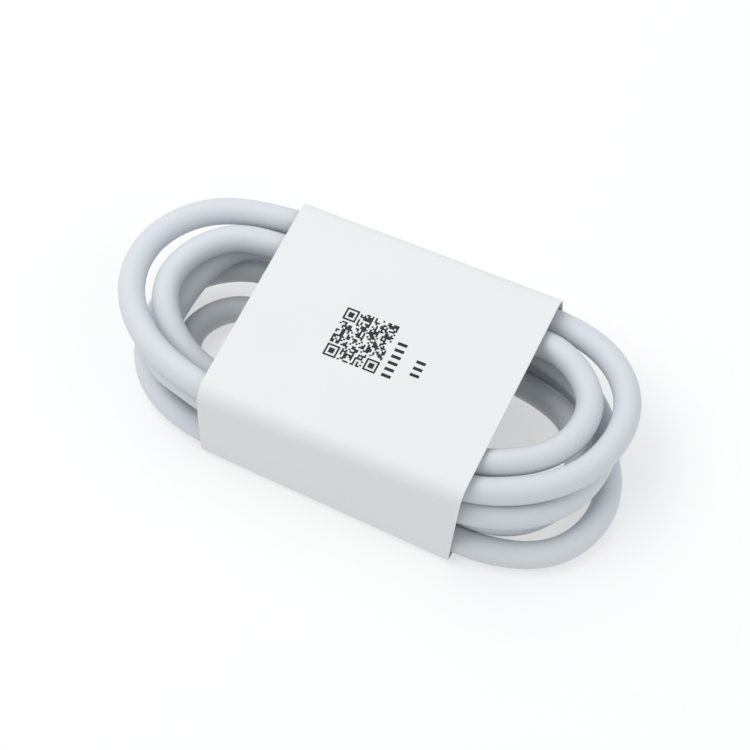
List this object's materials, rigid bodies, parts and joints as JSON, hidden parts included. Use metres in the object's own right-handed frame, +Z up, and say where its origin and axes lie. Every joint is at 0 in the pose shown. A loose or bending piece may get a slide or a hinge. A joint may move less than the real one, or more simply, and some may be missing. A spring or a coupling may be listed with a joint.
{
  "type": "charging cable",
  "caption": "Round white charging cable with a USB-C plug on each end, wound into a flat oblong hank and held by a printed paper sleeve that slides off.",
  "frame": {"origin": "centre of the bounding box in X and Y, at the underside of the paper sleeve, which rests on the surface", "axes": "+X along the hank, the way the sleeve slides off; +Z up through the sleeve's printed face; -Y towards the sleeve's leaning front wall"},
  "size_m": [0.0888, 0.0434, 0.0175],
  "materials": {
    "sleeve_paper": "matte uncoated white card, 0.35 mm",
    "sleeve_ink": "matte black print on the card",
    "glue": "dry translucent paper glue",
    "cable_jacket": "smooth satin white thermoplastic elastomer",
    "plug_boot": "satin white moulded boot",
    "inner_mould": "milky hot-melt pre-mould",
    "inner_steel": "plain nickel-plated sheet",
    "plug_shell": "smooth nickel-plated deep-drawn shell",
    "circuit_board": "green solder mask",
    "black_plastic": "matte black moulding",
    "contact_gold": "gold-plated",
    "wire_red": "wire insulation",
    "wire_black": "wire insulation",
    "wire_green": "wire insulation",
    "wire_white": "wire insulation",
    "wire_blue": "wire insulation"
  },
  "bodies": {
    "sleeve": {"paper_sleeve": "sleeve_paper", "sleeve_glue_film": "glue"},
    "cable": {"cable_hank": "cable_jacket", "lead_a": "cable_jacket", "lead_b": "cable_jacket", "plug_a_circuit_board": "circuit_board", "plug_a_contact_A1": "contact_gold", "plug_a_contact_A12": "contact_gold", "plug_a_contact_A4": "contact_gold", "plug_a_contact_A5": "contact_gold", "plug_a_contact_A6": "contact_gold", "plug_a_contact_A7": "contact_gold", "plug_a_contact_A9": "contact_gold", "plug_a_contact_B1": "contact_gold", "plug_a_contact_B12": "contact_gold", "plug_a_contact_B4": "contact_gold", "plug_a_contact_B5": "contact_gold", "plug_a_contact_B9": "contact_gold", "plug_a_contact_carrier": "black_plastic", "plug_a_crimp_collar": "inner_steel", "plug_a_inner_mould": "inner_mould", "plug_a_latch": "inner_steel", "plug_a_marker_chip": "black_plastic", "plug_a_overmould": "plug_boot", "plug_a_shell": "plug_shell", "plug_a_shield_can": "inner_steel", "plug_a_strain_relief": "plug_boot", "plug_a_wire_black": "wire_black", "plug_a_wire_blue": "wire_blue", "plug_a_wire_green": "wire_green", "plug_a_wire_red": "wire_red", "plug_a_wire_white": "wire_white", "plug_b_circuit_board": "circuit_board", "plug_b_contact_A1": "contact_gold", "plug_b_contact_A12": "contact_gold", "plug_b_contact_A4": "contact_gold", "plug_b_contact_A5": "contact_gold", "plug_b_contact_A6": "contact_gold", "plug_b_contact_A7": "contact_gold", "plug_b_contact_A9": "contact_gold", "plug_b_contact_B1": "contact_gold", "plug_b_contact_B12": "contact_gold", "plug_b_contact_B4": "contact_gold", "plug_b_contact_B5": "contact_gold", "plug_b_contact_B9": "contact_gold", "plug_b_contact_carrier": "black_plastic", "plug_b_crimp_collar": "inner_steel", "plug_b_inner_mould": "inner_mould", "plug_b_latch": "inner_steel", "plug_b_marker_chip": "black_plastic", "plug_b_overmould": "plug_boot", "plug_b_shell": "plug_shell", "plug_b_shield_can": "inner_steel", "plug_b_strain_relief": "plug_boot", "plug_b_wire_black": "wire_black", "plug_b_wire_blue": "wire_blue", "plug_b_wire_green": "wire_green", "plug_b_wire_red": "wire_red", "plug_b_wire_white": "wire_white"}
  },
  "joints": [
    {"name": "sleeve_slide", "type": "slide", "parent": "sleeve", "child": "cable", "axis": [1, 0, 0], "range_m": [-0.07, 0.07]}
  ]
}
